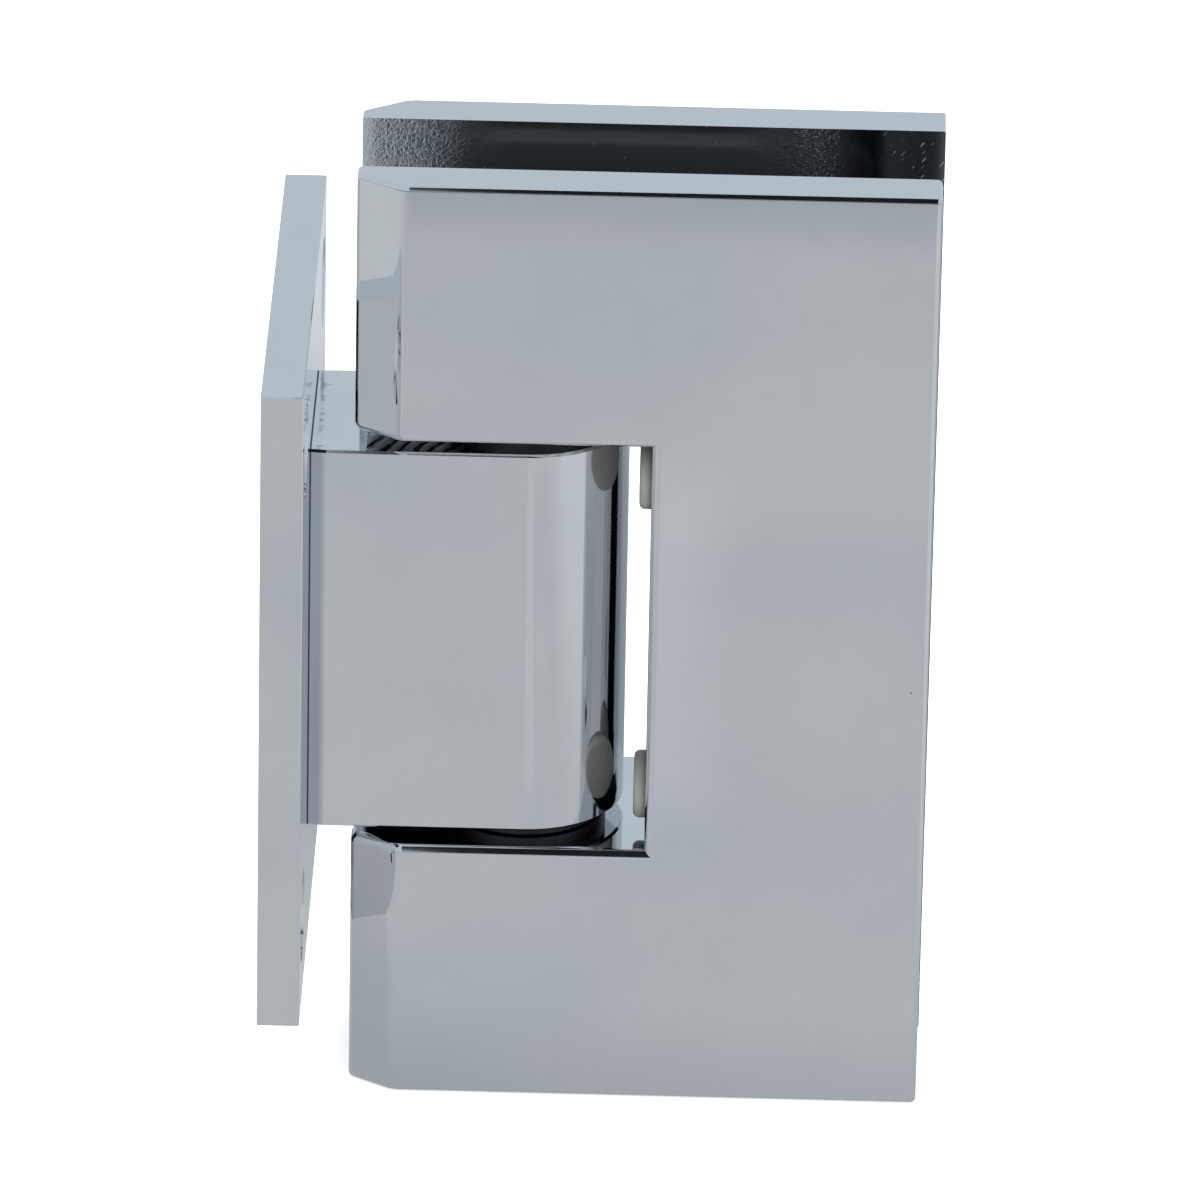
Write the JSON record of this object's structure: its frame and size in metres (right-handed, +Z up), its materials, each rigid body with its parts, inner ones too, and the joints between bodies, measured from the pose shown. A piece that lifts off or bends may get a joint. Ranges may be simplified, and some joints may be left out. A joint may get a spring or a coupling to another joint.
{
  "type": "glass door hinge",
  "caption": "Wall-to-glass shower door hinge: an upright wall plate and knuckle carry a two-plate glass clamp that turns on a vertical pin, with soft stops and a spring detent.",
  "frame": {"origin": "centre of the wall plate's back face, on the wall", "axes": "+X away from the wall and along the closed door, +Y to the rear of the hinge, where the clamp screws are, +Z up along the hinge pin"},
  "size_m": [0.06, 0.05, 0.09],
  "materials": {
    "chromed_brass": "polished chrome plate on brass",
    "pin_steel": "ground stainless steel",
    "screw_steel": "stainless steel",
    "spring_steel": "blued spring steel",
    "black_acetal": "black acetal",
    "stop_nylon": "warm grey nylon",
    "gasket_rubber": "black rubber sheet"
  },
  "bodies": {
    "wall_leaf": {"wall_plate": "chromed_brass", "knuckle": "chromed_brass", "knuckle_screw_upper": "screw_steel", "knuckle_screw_lower": "screw_steel", "bush_upper": "black_acetal", "bush_lower": "black_acetal", "detent_leaf": "spring_steel", "spring_backer": "black_acetal"},
    "glass_clamp": {"front_plate": "chromed_brass", "rear_plate": "chromed_brass", "hinge_pin": "pin_steel", "front_gasket": "gasket_rubber", "rear_gasket": "gasket_rubber", "stop_button_upper": "stop_nylon", "pin_set_screw_upper": "screw_steel", "clamp_screw_wall_side_upper": "screw_steel", "clamp_screw_door_side_upper": "screw_steel", "stop_button_lower": "stop_nylon", "pin_set_screw_lower": "screw_steel", "clamp_screw_wall_side_lower": "screw_steel", "clamp_screw_door_side_lower": "screw_steel"}
  },
  "joints": [
    {"name": "hinge_pivot", "type": "hinge", "parent": "wall_leaf", "child": "glass_clamp", "pos_m": [0.02329, 0, 0], "axis": [0, 0, 1], "range_deg": [-90, 90], "deforming": ["detent_leaf"]}
  ]
}
